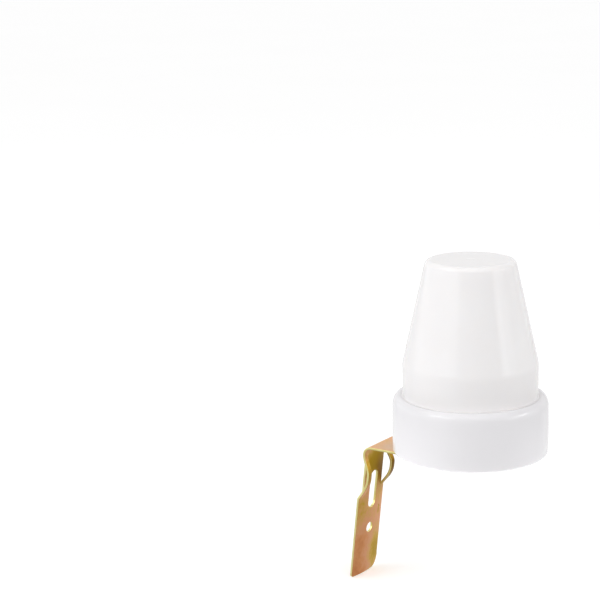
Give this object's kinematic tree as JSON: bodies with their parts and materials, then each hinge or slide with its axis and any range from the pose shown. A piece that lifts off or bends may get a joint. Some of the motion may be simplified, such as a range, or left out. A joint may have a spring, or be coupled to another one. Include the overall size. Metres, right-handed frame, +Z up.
{
  "type": "photocell switch",
  "caption": "Dusk-to-dawn light switch: translucent frustum dome on a round moulded base, hung from a plated steel strip bracket with a slot, a screw hole and strap loops.",
  "frame": {"origin": "on the dome's axis at the underside of the base, inside the wire outlet", "axes": "+Z up along the dome's axis, +X from the bracket's leg towards the dome"},
  "size_m": [0.0734, 0.0546, 0.123],
  "materials": {
    "base_plastic": "satin white moulding",
    "cover_plastic": "milky translucent satin",
    "plated_strip": "yellow passivated zinc",
    "screw_steel": "bright zinc",
    "grommet_rubber": "matt",
    "board_laminate": "paper laminate",
    "relay_case": "moulded",
    "film_capacitor": "moulded",
    "can_sleeve": "shrunk sleeve",
    "varistor_coat": "dipped",
    "power_resistor_coat": "cement coat",
    "resistor_coat": "lacquered",
    "black_epoxy": "moulded",
    "diode_glass": "clear",
    "sensor_face": "clear coated",
    "sleeve_plastic": "extruded"
  },
  "bodies": {
    "root": {"base": "base_plastic", "cover": "cover_plastic", "bracket": "plated_strip", "bracket_screw": "screw_steel", "lock_washer": "screw_steel", "bracket_nut": "screw_steel", "wire_grommet": "grommet_rubber", "circuit_board": "board_laminate", "relay": "relay_case", "dropper_capacitor": "film_capacitor", "smoothing_capacitor": "can_sleeve", "delay_capacitor": "can_sleeve", "varistor": "varistor_coat", "surge_resistor": "power_resistor_coat", "signal_resistors": "resistor_coat", "rectifier_diodes": "black_epoxy", "zener_diode": "diode_glass", "flyback_diode": "black_epoxy", "transistors": "black_epoxy", "light_sensor": "sensor_face", "sensor_sleeves": "sleeve_plastic"}
  },
  "joints": []
}
